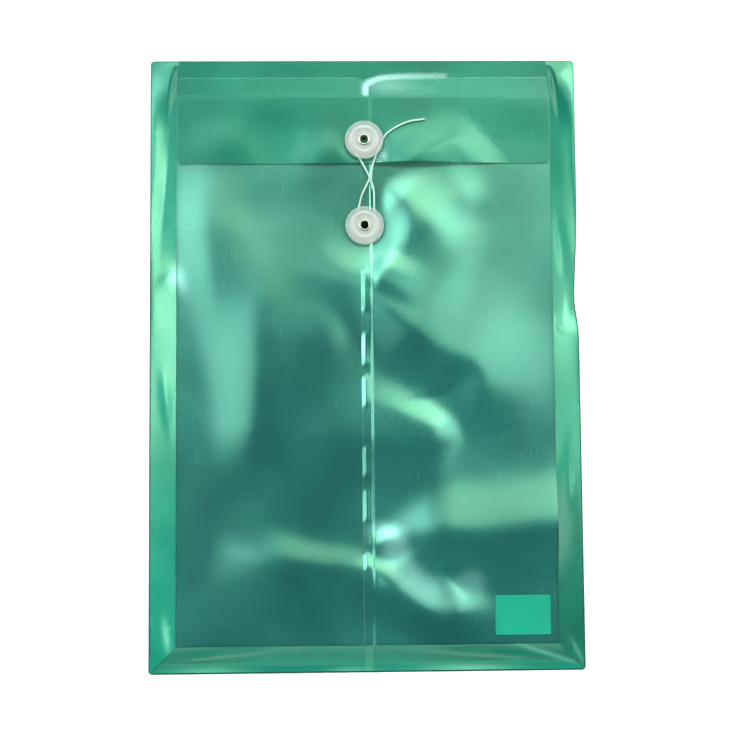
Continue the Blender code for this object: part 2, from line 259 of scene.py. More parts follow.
def nickel_plate(name):
    """Bright nickel plate on a pressed brass eyelet: grey-white, with fine marks of the press that are
    drawn coarser than they are, to show."""
    paint, tree, shader = new_paint(name)
    place = node(tree, "TexCoord", {}).outputs["Object"]
    marks = node(tree, "TexNoise", {"Vector": place, "Scale": 1 / (0.4 * MM), "Detail": 3.0})
    plated = {0: marks.outputs[0], MIX_A: rgba("#8E8F82"), MIX_B: rgba("#C6C7BA")}
    tone = node(tree, "Mix", plated, data_type="RGBA")
    dull = node(tree, "MapRange", {"Value": marks.outputs[0], "To Min": 0.16, "To Max": 0.36})
    tree.links.new(tone.outputs[MIX_OUT], shader.inputs["Base Color"])
    tree.links.new(dull.outputs[0], shader.inputs["Roughness"])
    shader.inputs["Metallic"].default_value = 1.0
    return paint


def cotton_string(name):
    """Bleached cotton twine: matt, with painted shade in darker lines between its strands and a little fuzz
    in the colour.
    """
    paint, tree, shader = new_paint(name)
    place = node(tree, "TexCoord", {}).outputs["Object"]
    fuzz = node(tree, "TexNoise", {"Vector": place, "Scale": 1 / (0.3 * MM), "Detail": 3.0})
    strand = node(tree, "Attribute", {}, attribute_name="strand")
    # Painted shade in the grooves between the strands
    twist = {0: strand.outputs["Fac"], MIX_A: rgba("#7BA596"), MIX_B: rgba("#CBE3DA")}
    body = node(tree, "Mix", twist, data_type="RGBA")
    loose = {0: fuzz.outputs[0], MIX_A: body.outputs[MIX_OUT], MIX_B: rgba("#C0E0D5")}
    tone = node(tree, "Mix", loose, data_type="RGBA")
    bump = node(tree, "Bump", {"Height": fuzz.outputs[0], "Strength": 0.4, "Distance": 0.08 * MM})
    tree.links.new(tone.outputs[MIX_OUT], shader.inputs["Base Color"])
    tree.links.new(bump.outputs[0], shader.inputs["Normal"])
    shader.inputs["Roughness"].default_value = 0.85
    shader.inputs["Sheen Weight"].default_value = 0.3
    return paint


def label_film(name):
    """A blank sticker of coated film: satin and evenly coloured, with a painted shadow line a touch darker
    along its cut edge.
    """
    paint, tree, shader = new_paint(name)
    place = node(tree, "TexCoord", {}).outputs["Object"]
    cloud = node(tree, "TexNoise", {"Vector": place, "Scale": 1 / (14 * MM), "Detail": 2.0})
    grain = node(tree, "TexNoise", {"Vector": place, "Scale": 1 / (0.5 * MM), "Detail": 2.0})
    edge = node(tree, "Attribute", {}, attribute_name="cut_edge")
    coated = {0: cloud.outputs[0], MIX_A: rgba("#178D70"), MIX_B: rgba("#1A9B7C")}
    body = node(tree, "Mix", coated, data_type="RGBA")
    # A painted shadow line along the cut edge
    cut = {0: edge.outputs["Fac"], MIX_A: body.outputs[MIX_OUT], MIX_B: rgba("#1A866F")}
    edged = node(tree, "Mix", cut, data_type="RGBA")
    dull = node(tree, "MapRange", {"Value": grain.outputs[0], "To Min": 0.42, "To Max": 0.58})
    bump = node(tree, "Bump", {"Height": grain.outputs[0], "Strength": 0.05, "Distance": 0.05 * MM})
    tree.links.new(edged.outputs[MIX_OUT], shader.inputs["Base Color"])
    tree.links.new(dull.outputs[0], shader.inputs["Roughness"])
    tree.links.new(bump.outputs[0], shader.inputs["Normal"])
    shader.inputs["Specular IOR Level"].default_value = 0.1
    return paint


# Making pieces
def alone(piece):
    bpy.ops.object.select_all(action="DESELECT")
    piece.select_set(True)
    bpy.context.view_layer.objects.active = piece


def apply_modifier(piece, kind, **settings):
    modifier = piece.modifiers.new(kind.lower(), kind)
    for key, value in settings.items():
        setattr(modifier, key, value)
    alone(piece)
    bpy.ops.object.modifier_apply(modifier=modifier.name)


def mesh_piece(name, points, faces, marks):
    """An object from points in millimetres, with a value at each point for each mark."""
    mesh = bpy.data.meshes.new(name)
    mesh.from_pydata((np.asarray(points) * MM).tolist(), [], faces)
    for mark, values in marks.items():
        attribute = mesh.attributes.new(mark, "FLOAT", "POINT")
        attribute.data.foreach_set("value", np.asarray(values, np.float32).ravel())
    piece = bpy.data.objects.new(name, mesh)
    bpy.context.scene.collection.objects.link(piece)
    return piece


def film(name, x, y, z, paint, thick=FILM, sharp=40, **marks):
    """A piece of film from grids of places on its middle surface, thickened both ways."""
    points = np.stack(np.broadcast_arrays(x, y, z), axis=-1)
    rows, columns = points.shape[:2]
    at = np.arange(rows * columns).reshape(rows, columns)
    quads = np.stack([at[:-1, :-1], at[:-1, 1:], at[1:, 1:], at[1:, :-1]], axis=-1)
    piece = mesh_piece(name, points.reshape(-1, 3), quads.reshape(-1, 4).tolist(), marks)
    apply_modifier(piece, "SOLIDIFY", thickness=thick * MM, offset=0, use_even_offset=True)
    alone(piece)
    bpy.ops.object.shade_smooth_by_angle(angle=math.radians(sharp))
    piece.data.materials.append(paint)
    return piece


# Radius of the hole for the eyelet, through film, button and washer
RIVET_HOLE = 2.9


def rivet_hole(piece, y, height):
    """Cuts the eyelet's hole through a film."""
    bpy.ops.object.select_all(action="DESELECT")
    bpy.ops.mesh.primitive_cylinder_add(
        vertices=64, radius=RIVET_HOLE * MM, depth=6 * MM, location=(0, y * MM, height * MM)
    )
    cutter = bpy.context.object
    apply_modifier(piece, "BOOLEAN", object=cutter, operation="DIFFERENCE", solver="MANIFOLD")
    bpy.data.objects.remove(cutter, do_unlink=True)


def flowing(line, steps=14):
    """A smooth curve through a few points of a plan, as many short pieces."""
    points = [Vector(point) for point in line]
    ends = [2 * points[0] - points[1], *points, 2 * points[-1] - points[-2]]
    curve = []
    for a, b, c, d in zip(ends, ends[1:], ends[2:], ends[3:]):
        for step in range(steps):
            t = step / steps
            bend = (2 * a - 5 * b + 4 * c - d) * t**2 + (3 * (b - c) + d - a) * t**3
            curve.append(0.5 * (2 * b + (c - a) * t + bend))
    return [*curve, ends[-2]]


def beside(x, y, line):
    """How far each place is from a line, which hand it is on (1 for the left), the share along the line of
    its nearest point, and a share that changes smoothly all round."""
    curve = flowing(line)
    whole = sum((b - a).length for a, b in zip(curve, curve[1:]))
    gap = np.full(np.shape(x), np.inf)
    hand = np.zeros(np.shape(x))
    nearest = np.zeros(np.shape(x))
    weights = 0
    shares = 0
    done = 0
    for a, b in zip(curve, curve[1:]):
        length = (b - a).length
        run_x, run_y = (b - a) / length
        along = np.clip((x - a.x) * run_x + (y - a.y) * run_y, 0, length)
        off_x, off_y = x - a.x - along * run_x, y - a.y - along * run_y
        here = np.hypot(off_x, off_y)
        nearer = here < gap
        gap = np.where(nearer, here, gap)
        hand = np.where(nearer, np.where(run_x * off_y - run_y * off_x > 0, 1, -1), hand)
        nearest = np.where(nearer, (done + along) / whole, nearest)
        weight = length / (here + 0.3) ** 5
        weights = weights + weight
        shares = shares + weight * (done + along) / whole
        done += length
    return gap, hand, nearest, shares / weights


# A buckle's flank meets the flat at this many of its widths, over a rounded toe
FLANK_REACH = 1.4
TOE = 0.15


def ridge(x, y, line, heights, left, right, ends, crest):
    """A buckle in the film, along a line: its height and the width of the flank on each hand are values at
    even steps along it, ends are the shares of the line over which it fades, and crest is how round its
    top is."""
    gap, hand, nearest, share = beside(x, y, line)
    rows = (heights, left, right)
    height, on_left, on_right = (np.interp(share, np.linspace(0, 1, len(row)), row) for row in rows)
    side = np.where(hand > 0, on_left, on_right)
    down = (np.sqrt(gap**2 + crest**2) - crest) / side
    flank = TOE * np.logaddexp(0, (1 - down / FLANK_REACH) / TOE)
    start = smooth(nearest / ends[0]) if ends[0] else 1
    end = smooth((1 - nearest) / ends[1]) if ends[1] else 1
    return height * flank * start * end


def bulge(x, y, place, height, reach, turn=0):
    """A soft swelling, or a dent: reach is its half width along and across, turned by an angle in degrees."""
    angle = math.radians(turn)
    off_x, off_y = x - place[0], y - place[1]
    along = (off_x * math.cos(angle) + off_y * math.sin(angle)) / reach[0]
    across = (off_y * math.cos(angle) - off_x * math.sin(angle)) / reach[1]
    return height * np.exp(-(along**2) - across**2)


def bulges(x, y, rows):
    """All the swellings and dents of a table of them."""
    return sum(bulge(x, y, *row) for row in rows)


# Buckles of the front film of an empty, handled pouch: a line in plan, its heights and the widths of its
# left and right flanks at even steps along it, the shares of the line over which its ends fade, and how
# round its crest is
TONGUE = (
    [(-48, 52), (-20, 46), (3, 36), (30, 13), (44, 4), (57, -1), (64, -10), (63, -21), (56, -33), (49, -41)],
    (1.6, 2.8, 4.6, 4.0, 2.8),
    (40, 40, 42, 30, 16),
    (9, 11, 16, 18, 20),
    (0.4, 0.2),
    2.5,
)
HOOK = [(3, -104), (9, -117), (21, -130), (38, -139), (55, -134), (64, -120)]
WEDGE = [(-88, -100), (-62, -108), (-30, -113.5), (-2, -115.5), (20, -116)]
BUCKLES = (
    # Left half: a wide soft V standing on its tip, a wedge that runs out to the seam, and the side's own roll
    ([(-66, 92), (-58, 40), (-57, -20), (-65, -78)], (5.8, 1.8), (34, 26), (30, 10), (0.5, 0.25), 6),
    (WEDGE, (4.4, 2.0), (15, 7), (26, 20), (0.45, 0.25), 3),
    ([(-84, 0), (-86, 114)], (0.6, 3.0), (18, 18), (14, 14), (0.5, 0), 5),
    # Right half: a tongue with a sharp outline, a spur and a wing below it, a ledge, and a hooked fold
    TONGUE,
    ([(-44, -39), (2, -42), (28, -43.5), (58, -44)], (3.2, 1.2), (54, 6), (30, 14), (0.45, 0.25), 2),
    ([(-14, -16), (8, -25), (28, -34), (54, -45)], (1.6, 2.2), (12, 8), (24, 14), (0.5, 0.25), 2.5),
    ([(8, -84), (32, -92), (62, -95), (104, -90)], (5.4, 5.2), (21, 20), (20, 20), (0.4, 0), 3),
    (HOOK, (5.2, 3.0), (16, 13), (10, 11), (0.3, 0.3), 2.5),
    # Above the tongue: a sliver beside the seam, and two slanting folds that come out from under the flap
    ([(5, 37), (11, 50), (17, 63)], (1.7, 1.7), (5, 5), (14, 14), (0.3, 0.5), 1.5),
    ([(14, 102), (26, 85), (43, 65), (60, 44)], (3.5, 1.2), (12, 14), (18, 28), (0.2, 0.6), 5),
    ([(44, 112), (50, 98), (62, 78)], (2.0, 1.6), (9, 9), (18, 18), (0, 0.5), 4),
)
# Swellings of the front film: place, height and half widths
SWELLINGS = (((-21, 16), 0.8, (12, 18)), ((11, -99), 2.0, (8, 5)))


def rumple(x, y):
    """How far the front film stands off its flat."""
    rise = sum(ridge(x, y, *buckle) for buckle in BUCKLES) + bulges(x, y, SWELLINGS)
    # It lies flat where the flap, the string and the lower button press it
    under_flap = 0.25 * smooth((FRONT_END - y) / 25) + 0.75 * smooth((FLAP_EDGE + 2 - y) / 42)
    by_button = smooth((np.hypot(x, y - LOWER) - 6) / 22)
    by_string = 1 - (1 - smooth((np.abs(x - 1) - 6) / 9)) * smooth((y - LOWER) / 12)
    return rise * under_flap * by_button * by_string


def blurred(grid, times):
    """A grid of heights with its sharpest creases rubbed down."""
    for _ in range(times):
        padded = np.pad(grid, 1, mode="edge")
        grid = (padded[:-2, 1:-1] + padded[2:, 1:-1] + padded[1:-1, :-2] + padded[1:-1, 2:] + 4 * grid) / 8
    return grid


# Heights of the rumpled front at every millimetre of its plan
RELIEF_X = np.arange(-CREASE_X, CREASE_X + 1)
RELIEF_Y = np.arange(FOOT_CREASE, MOUTH + 1)
RELIEF = blurred(rumple(*np.meshgrid(RELIEF_X, RELIEF_Y)), 6)


def spline(t):
    """Weights of four neighbours in a row, for a place between the middle two."""
    return (1 - t) ** 3 / 6, (3 * t**3 - 6 * t**2 + 4) / 6, (3 * t**2 + 3 * t - 3 * t**3 + 1) / 6, t**3 / 6


def relief(x, y):
    """The rumpled film's height off its flat at any place, from the grid of heights at every millimetre."""
    x, y = np.broadcast_arrays(x, y)
    across = np.clip(x - RELIEF_X[0], 0, len(RELIEF_X) - 1)
    up = np.clip(y - RELIEF_Y[0], 0, len(RELIEF_Y) - 1)
    i, j = up.astype(int), across.astype(int)
    grid = np.pad(RELIEF, 2, mode="edge")
    columns = spline(across - j)
    height = 0
    for row, a in enumerate(spline(up - i)):
        for column, b in enumerate(columns):
            height = height + a * b * grid[i + row + 1, j + column + 1]
    return height


# The dent in the right side: how deep it is, its height up the side, and its reach above and below that
WAIST_DEPTH = 2.2
WAIST_Y = 34
WAIST_ABOVE = 30
WAIST_BELOW = 12


def waist(y):
    """How far the right edge is drawn in where the side is dented."""
    reach = np.where(y > WAIST_Y, WAIST_ABOVE, WAIST_BELOW)
    return WAIST_DEPTH * np.exp(-(((y - WAIST_Y) / reach) ** 2))


def brim(share):
    """Height of the foot strip above the table, from the front's crease (0) to the outer edge (1)."""
    return BRIM_Z + (FRONT_Z - BRIM_Z) * (1 - share) ** FOOT_CURVE


def back_film(paint):
    from_end = np.array([0, 0.1, 0.3, 0.6, 1]) * CORNER
    between = stations(FOOT + CORNER, (TOP - CORNER, 4))[1:-1]
    y = np.concatenate([FOOT + from_end, between, TOP - from_end[::-1]])
    near = np.clip(CORNER - np.minimum(y - FOOT, TOP - y), 0, CORNER)
    half = HALF - CORNER + np.sqrt(CORNER**2 - near**2)
    share = np.concatenate([[-1, -0.99], np.linspace(-0.98, 0.98, 59), [0.99, 1]])
    x = half[:, None] * share
    x = x - np.clip(share, 0, 1) ** 8 * waist(y)[:, None]
    # Painted shade darkens the edge all round, where the weld shows beyond the strips
    to_end = np.minimum(y - FOOT, TOP - y)[:, None]
    edge = np.maximum(smooth((np.abs(share) - 0.98) / 0.01), smooth((1.4 - to_end) / 0.5))
    return film("back_film", x, y[:, None], np.full_like(x, FILM / 2), paint, shade=edge)


# Dents of the side strips, and painted highlights on them: place, height or strength, half widths and turn in
# degrees
SIDE_DENTS = (
    ((-109, 46), 0.25, (3, 6), -60),
    ((-110, -20), 0.5, (3, 14), 6),
    ((-111, 92), -0.5, (3, 20), -5),
    ((109, 18), 0.6, (3, 6), 60),
    ((110, 62), 0.5, (3, 14), 6),
    ((111, -70), -0.5, (3, 20), -5),
)
SIDE_GLINTS = (
    ((-104, 47), 0.9, (5, 8), 20),
    ((-109.5, -149), 0.6, (2, 8), 8),
    ((112, 27), 0.7, (1.5, 8)),
    ((115, 20), 0.85, (5, 6), 30),
    ((110, 24), 0.3, (9, 26)),
    ((115, -160), 0.5, (1.2, 8), 28),
)


def gusset_film(name, side, fullest, paint):
    """A side strip, from the front's crease down to the outer edge, mitred at the foot. It is drawn nearly
    straight, fullest at a place and over a reach along it, and falls with the flap's spine at the top."""
    share = np.linspace(0, 1, 25)
    along = np.linspace(0, 1, 180)[:, None]
    low = FOOT_CREASE - (GUSSET - WELD) * share
    y = low + (TOP - WELD - low) * along
    draw_in = waist(y) if side > 0 else 0 * y
    x = side * (CREASE_X + (GUSSET - WELD - draw_in) * share)
    middle, reach = fullest
    belly = np.exp(-(((y - middle) / reach) ** 2))
    fall = (1 - share) ** (1.05 + 0.15 * smooth((y - 60) / 60) - 0.1 * belly)
    lift = relief(side * CREASE_X, y) * (1 - share) ** 2
    free = smooth((1 - share) * 4) * smooth(share * 4)
    dents = bulges(x, y, SIDE_DENTS)
    start = FRONT_END + 2 - 18 * smooth(share / 0.4)
    ends = 1 - np.clip((y - start) / (TOP - 2 - start), 0, 1) ** 1.6
    z = BRIM_Z + ((FRONT_Z - BRIM_Z) * fall + lift + dents * free) * ends
    # Painted shade darkens it at the top, and the right one towards the foot as well
    shade = 0.45 * smooth((y - TOP + 46) / 40)
    if side > 0:
        shade = np.maximum(shade, 0.45 * smooth((-40 - y) / 60))
    # Its crease mark holds only painted highlights
    return film(name, x, y, z, paint, sharp=15, crease=bulges(x, y, SIDE_GLINTS), shade=shade)


# Swellings of the foot strip, and painted highlights on it
FOOT_SWELLINGS = (((72, -161), 0.9, (30, 2.2), -5), ((-84, -160), 0.9, (24, 2.2), 6))
FOOT_GLINTS = (
    ((55, -169), 0.5, (24, 2.5)),
    ((-88, -169), 0.35, (20, 2.5)),
    ((-9, -169.5), 0.3, (12, 2)),
    ((97, -160.5), 0.5, (19, 1.3), -19),
)


def foot_film(name, start, end, thick, paint, glow):
    """Part of the strip below the foot crease, between two shares of its width, mitred at both ends and
    painted a little paler all over by its glow, a painted highlight."""
    share = np.linspace(start, end, 12)[:, None]
    along = np.linspace(-1, 1, 160)
    x = (CREASE_X + (GUSSET - WELD) * share) * along
    y = np.broadcast_to(FOOT_CREASE - (GUSSET - WELD) * share, x.shape)
    lift = relief(x, FOOT_CREASE) * (1 - share) ** 2
    lift = lift + bulges(x, y, FOOT_SWELLINGS)
    # It is painted paler over the lap, with painted highlights and with its glow
    over_lap = 0.12 * smooth((2.6 - np.abs(x - 0.5)) / 0.8)
    white = glow + over_lap + bulges(x, y, FOOT_GLINTS)
    # Painted shade darkens the strip, more towards the right, but not near its hem
    shade = (0.1 + 0.1 * smooth((x + 30) / 60)) * (1 - smooth((share - 0.55) / 0.2))
    return film(name, x, y, brim(share) + lift, paint, thick, crease=white, shade=shade)


def lap_rise(x):
    """How far the right half stands up over the left one along the lap."""
    return LAP_STEP * smooth((LAP_FLAT + LAP_RAMP - x) / LAP_RAMP)


# Where the lap's edge is pressed down to its weld: middle and half length of each place
LAP_WELDS = ((38.5, 10.5), (6, 8), (-17, 7.5), (-55.5, 7.5), (-79.5, 8), (-109.6, 3.5))


def lap_curl(x, y):
    """How far the lap's edge turns down where it is welded, and swells up beside the weld."""
    pressed = sum(smooth((half + 2 - np.abs(y - middle)) / 3) for middle, half in LAP_WELDS)
    off_edge = x - LAP_LEFT
    roll = np.where(off_edge < 2, -0.3 + 0.325 * off_edge, 0.35 * np.exp(-(((off_edge - 2) / 2.2) ** 2)))
    return pressed * roll


def front_height(x, y):
    """Middle surface of the front film, on its flat panel and down the lip under the flap."""
    past = np.maximum(y - FRONT_END, 0)
    return FRONT_Z + relief(x, y) - LIP_FALL * past


# Painted highlights on each half of the front, and the middle of the painted highlight band inside the hooked
# fold
LEFT_HIGHLIGHTS = (((-103, 47), 0.8, (4, 8), 20), ((-94, 92), 0.16, (10, 24), -10))
RIGHT_HIGHLIGHTS = (((14, 58), 0.4, (2.2, 9), -25), ((10, -93), 0.7, (8, 4)))
HOOK_HIGHLIGHT = [(15, -97), (17, -110), (25, -120), (37, -127), (46, -128), (57, -122)]


def front_half_film(name, x, seam, side, rise, paint):
    """Half of the front with its lip: a round corner where the mouth meets the seam."""
    inward = np.clip(np.abs(x - seam) / MOUTH_CORNER, 0, 1)
    mouth = MOUTH - MOUTH_CORNER * (1 - np.sqrt(1 - (1 - inward) ** 2))
    panel = stations(FOOT_CREASE, (FRONT_END, CELL))[:, None] * np.ones_like(x)
    lip = FRONT_END + (mouth - FRONT_END) * np.linspace(0, 1, 14)[1:, None]
    y = np.concatenate([panel, lip])
    across = np.broadcast_to(x, y.shape)
    z = front_height(across, y) + rise(across, y)
    to_mouth = mouth - y
    to_crease = np.abs(np.abs(across) - CREASE_X)
    to_seam = np.abs(across - seam)
    # A painted highlight along the mouth's cut edge, and a fainter one along the seam's
    edge = np.maximum(smooth((0.9 - to_mouth) / 0.9), 0.15 * smooth((0.7 - to_seam) / 0.7))
    # Painted shade along the side creases and the foot crease
    shade = 0.7 * smooth((1.4 - np.minimum(to_crease, y - FOOT_CREASE)) / 1.4)
    crease = 0.02 * smooth((0.9 - np.abs(y - FRONT_END)) / 0.9)
    if side < 0:
        crease += bulges(across, y, LEFT_HIGHLIGHTS)
    else:
        # The right lip is painted pale beside its fold near the seam, a painted highlight, as is the hooked
        # fold's band
        folded = smooth((y - FRONT_END) / 3) * np.exp(-(((across - 22) / 20) ** 2))
        gap, _, along, _ = beside(across, y, HOOK_HIGHLIGHT)
        hook_band_highlight = 0.45 * smooth((11 - gap) / 9) * (1 - 0.55 * along)
        crease = np.maximum(crease, 0.9 * folded) + bulges(across, y, RIGHT_HIGHLIGHTS) + hook_band_highlight
    made = film(name, across, y, z, paint, sharp=12, cut_edge=edge, crease=crease, shade=shade)
    rivet_hole(made, LOWER, FRONT_Z)
    return made


# Waves and a buckle of the flap, the painted highlight line along the right lip's rolled edge under its
# spine, and its other painted highlights
FLAP_WAVES = (
    ((-47, 128), -0.7, (14, 20)),
    ((82, 128), -0.35, (22, 22)),
    ((26, 114), 1.0, (20, 12)),
    ((52, 128), 0.3, (20, 20), 40),
    ((-78, 122), 0.6, (18, 16)),
    ((-20, 115), 0.5, (12, 10)),
    ((10.5, 111), 0.7, (2, 6), 15),
)
FLAP_BUCKLE = ([(62, 136), (44, 121), (24, 105)], (1.1, 1.7), (30, 30), (12, 10), (0.4, 0), 3)
LIP_EDGE_HIGHLIGHT = [(1, 149), (2, 155), (11, 159.5), (28, 160.5), (46, 160.8)]
FLAP_HIGHLIGHTS = (((13, 154), 0.25, (12, 4)), ((10, 113), 0.6, (2, 4), -20))


def flap_film(paint):
    """The flap with its spine, from the top fold down to its edge."""
    spine = np.linspace(0, 1, 20)[:, None]
    spine_y = FOLD.y + (FLAP_CREASE.y - FOLD.y) * spine
    spine_z = FOLD.z + (FLAP_CREASE.z - FOLD.z) * spine
    panel_y = stations(FLAP_CREASE.y, (FLAP_EDGE + FLAP_CORNER, CELL))[1:]
    corner_y = FLAP_EDGE + FLAP_CORNER * np.array([0.6, 0.3, 0.1, 0])
    y = np.concatenate([spine_y, panel_y[:, None], corner_y[:, None]])
    z = np.concatenate([spine_z, np.full((len(panel_y) + len(corner_y), 1), FLAP_Z)])
    near = np.clip(FLAP_CORNER - (y - FLAP_EDGE), 0, FLAP_CORNER)
    half = FLAP_HALF - FLAP_CORNER + np.sqrt(FLAP_CORNER**2 - near**2)
    share = np.linspace(-1, 1, 150)
    x = half * share
    y = np.broadcast_to(y, x.shape)
    loose = smooth((FLAP_CREASE.y - y) / 30)
    sag = 0.8 * loose * smooth((np.abs(x) - 16) / 40)
    wave = bulges(x, y, FLAP_WAVES) + ridge(x, y, *FLAP_BUCKLE)
    z = z - sag + 2 * wave * loose * smooth((np.hypot(x, y - UPPER) - 8) / 8)
    # It rests on the front and doesn't dip through it
    clear = z - front_height(x, y) - lap_rise(np.abs(x)) - FLAP_CLEAR
    resting = z - clear + FLAP_SOFT * np.logaddexp(0, clear / FLAP_SOFT)
    z = np.where(y < FLAP_CREASE.y - 0.5, resting, z)
    # A faint painted highlight along its cut edges; its crease mark holds painted highlights
    edge = np.maximum(smooth((FLAP_EDGE + 0.5 - y) / 0.5), smooth((np.abs(x) - half + 0.5) / 0.5))
    gap, _, along, _ = beside(x, y, LIP_EDGE_HIGHLIGHT)
    white = smooth((2.6 - gap) / 2.0) * (1 - 0.6 * along) + bulges(x, y, FLAP_HIGHLIGHTS)
    made = film("flap_film", x, y, z, paint, sharp=15, cut_edge=0.03 * edge, crease=white)
    rivet_hole(made, UPPER, FLAP_Z)
    return made


def top_fold_film(paint):
    """The rounded fold from the back's top edge into the flap's spine."""
    angle = np.radians(np.linspace(-90, 75, 12))[:, None]
    radius = (FOLD.z - FILM / 2) / 2
    middle_y = TOP - radius - FILM / 2
    x = np.linspace(-FLAP_HALF, FLAP_HALF, 40)
    y = middle_y + radius * np.cos(angle)
    z = FILM / 2 + radius + radius * np.sin(angle)
    return film("top_fold_film", x, y, z, paint, FOLD_FILM)


def blank_label(paint):
    """The label, lying on the front film."""
    low, high = box_mm("blank_label")
    from_end = np.array([0, 0.15, 0.5, 1]) * LABEL_CORNER
    between = stations(low.y + LABEL_CORNER, (high.y - LABEL_CORNER, 1))[1:-1]
    y = np.concatenate([low.y + from_end, between, high.y - from_end[::-1]])
    near = np.clip(LABEL_CORNER - np.minimum(y - low.y, high.y - y), 0, LABEL_CORNER)
    half = (high.x - low.x) / 2 - LABEL_CORNER + np.sqrt(LABEL_CORNER**2 - near**2)
    share = np.linspace(-1, 1, 33)
    x = (low.x + high.x) / 2 + half[:, None] * share
    y = np.broadcast_to(y[:, None], x.shape)
    z = front_height(x, y) + FILM / 2 + LABEL_FILM
    # Where the painted shadow line lies
    edge = smooth((np.abs(share) - 0.96) / 0.04) * np.ones_like(x)
    return film("label_sticker", x, y, z, paint, LABEL_FILM, cut_edge=edge)


# String, in millimetres: its thickness, the length of a twist, the spacing of its rings, how far its middle
# lies above the film's face, and the thinner string of its knot
STRING = 1.1
STRING_TWIST = 5.0
STRING_STEP = 0.4
STRING_LIFT = 0.9
KNOT_STRING = 0.62
# The faces round it
STRING_SIDES = 15
# Its first turn round a boss, how far its coil widens over a turn, and its spare room where it passes itself
BOSS_TURN = 6.1
COIL_WIDENS = 1.95
PASSING = 0.5


def string_route():
    """The string's own points: from its knot round the upper boss, down round the lower one in a figure of
    eight, back up over itself, and out beside the upper button to its bare end."""
    on_flap = FLAP_Z + FILM / 2 + STRING_LIFT
    on_front = right_high.z + STRING_LIFT
    points = []
    for step in range(16):
        angle = math.radians(175 + 28 * step)
        radius = BOSS_TURN + COIL_WIDENS * step / 13
        points.append((radius * math.cos(angle), UPPER + radius * math.sin(angle), on_flap))
    span = UPPER - LOWER
    cross_y = UPPER - 0.44 * span
    under = (on_flap + on_front) / 2
    over = under + STRING + PASSING
    points.append((-2.7, UPPER - 9.9, on_flap))
    points.append((-0.3, UPPER - 14.2, on_flap))
    points.append((3.1, cross_y, under))
    points.append((5.1, UPPER - 0.57 * span, (under + on_front) / 2))
    points.append((5.4, LOWER + 10.2, on_front))
    for step in range(8):
        angle = math.radians(8 - 28 * step)
        points.append((BOSS_TURN * math.cos(angle), LOWER + BOSS_TURN * math.sin(angle), on_front))
    points.append((-3.2, LOWER + 10.2, on_front))
    points.append((-1.5, UPPER - 0.65 * span, (on_front + over) / 2))
    points.append((3.1, cross_y, over))
    points.append((5.0, UPPER - 13.0, on_flap + 0.3))
    reach = BOSS_TURN + COIL_WIDENS + STRING + PASSING
    for angle in (-40, -8):
        place = math.radians(angle)
        points.append((reach * math.cos(place), UPPER + reach * math.sin(place), on_flap))
    points.append((12.0, UPPER + 3.2, on_flap))
    points.append((17.5, UPPER + 7.3, on_flap))
    points.append((25.0, UPPER + 10.6, on_flap))
    points.append((34.0, UPPER + 12.0, on_flap))
    return [Vector(point) for point in points]


def smooth_points(route, spacing):
    """Even points on a smooth curve through the route (centripetal Catmull-Rom), and its length."""
    ends = [2 * route[0] - route[1], *route, 2 * route[-1] - route[-2]]
    fine = []
    for a, b, c, d in zip(ends, ends[1:], ends[2:], ends[3:]):
        t1 = (b - a).length ** 0.5
        t2 = t1 + (c - b).length ** 0.5
        t3 = t2 + (d - c).length ** 0.5
        for step in range(24):
            t = t1 + (t2 - t1) * step / 24
            ab = a.lerp(b, t / t1)
            bc = b.lerp(c, (t - t1) / (t2 - t1))
            cd = c.lerp(d, (t - t2) / (t3 - t2))
            fine.append(ab.lerp(bc, t / t2).lerp(bc.lerp(cd, (t - t1) / (t3 - t1)), (t - t1) / (t2 - t1)))
    fine = np.array([*fine, route[-1]])
    along = np.concatenate([[0], np.cumsum(np.linalg.norm(np.diff(fine, axis=0), axis=1))])
    at = np.linspace(0, along[-1], round(along[-1] / spacing) + 1)
    return np.stack([np.interp(at, along, fine[:, k]) for k in range(3)], axis=1), along[-1]


def twisted_tube(name, path, thick, closed, paint):
    """A cord of three strands laid round each other, along a path in millimetres."""
    count = len(path)
    ahead = np.roll(path, -1, axis=0) - np.roll(path, 1, axis=0)
    if not closed:
        ahead[0], ahead[-1] = path[1] - path[0], path[-1] - path[-2]
    ahead /= np.linalg.norm(ahead, axis=1)[:, None]
    side = np.cross(ahead[0], (0.3, 0.2, 1.0))
    sides = []
    for run in ahead:
        side = side - run * np.dot(side, run)
        side = side / np.linalg.norm(side)
        sides.append(side)
    sides = np.array(sides)
    ups = np.cross(ahead, sides)
    step = np.linalg.norm(path[1] - path[0])
    turn = 2 * np.pi * np.arange(count) * step / STRING_TWIST
    around = np.linspace(0, 2 * np.pi, STRING_SIDES, endpoint=False)
    lobe = 0.5 + 0.5 * np.cos(3 * (around[None, :] - turn[:, None]))
    radius = thick / 2 * (0.8 + 0.2 * lobe)
    if not closed:
        cap = np.array([0.55, 0.85])
        radius[:2] *= cap[:, None]
        radius[-2:] *= cap[::-1, None]
    outward = np.cos(around)[None, :, None] * sides[:, None] + np.sin(around)[None, :, None] * ups[:, None]
    rings = path[:, None] + radius[..., None] * outward
    at = np.arange(count * STRING_SIDES).reshape(count, STRING_SIDES)
    if closed:
        at = np.concatenate([at, at[:1]])
    right = np.roll(at, -1, axis=1)
    quads = np.stack([at[:-1], right[:-1], right[1:], at[1:]], axis=-1).reshape(-1, 4).tolist()
    if not closed:
        quads += [at[0][::-1].tolist(), at[-1].tolist()]
    piece = mesh_piece(name, rings.reshape(-1, 3), quads, {"strand": lobe})
    alone(piece)
    bpy.ops.object.shade_smooth()
    piece.data.materials.append(paint)
    return piece


def knot_path():
    """A small overhand knot: a trefoil in the space that the frame keeps for it."""
    low, high = box_mm("string_knot")
    middle = (low + high) / 2
    size = (high.x - low.x) / 2 / 4.2
    t = np.linspace(0, 2 * np.pi, 72, endpoint=False)
    loop = np.stack([np.sin(t) + 2 * np.sin(2 * t), np.cos(t) - 2 * np.cos(2 * t), -np.sin(3 * t)], axis=1)
    return np.array(middle) + loop * size


# Riveted buttons, and how many points go round them
ROUND = 96


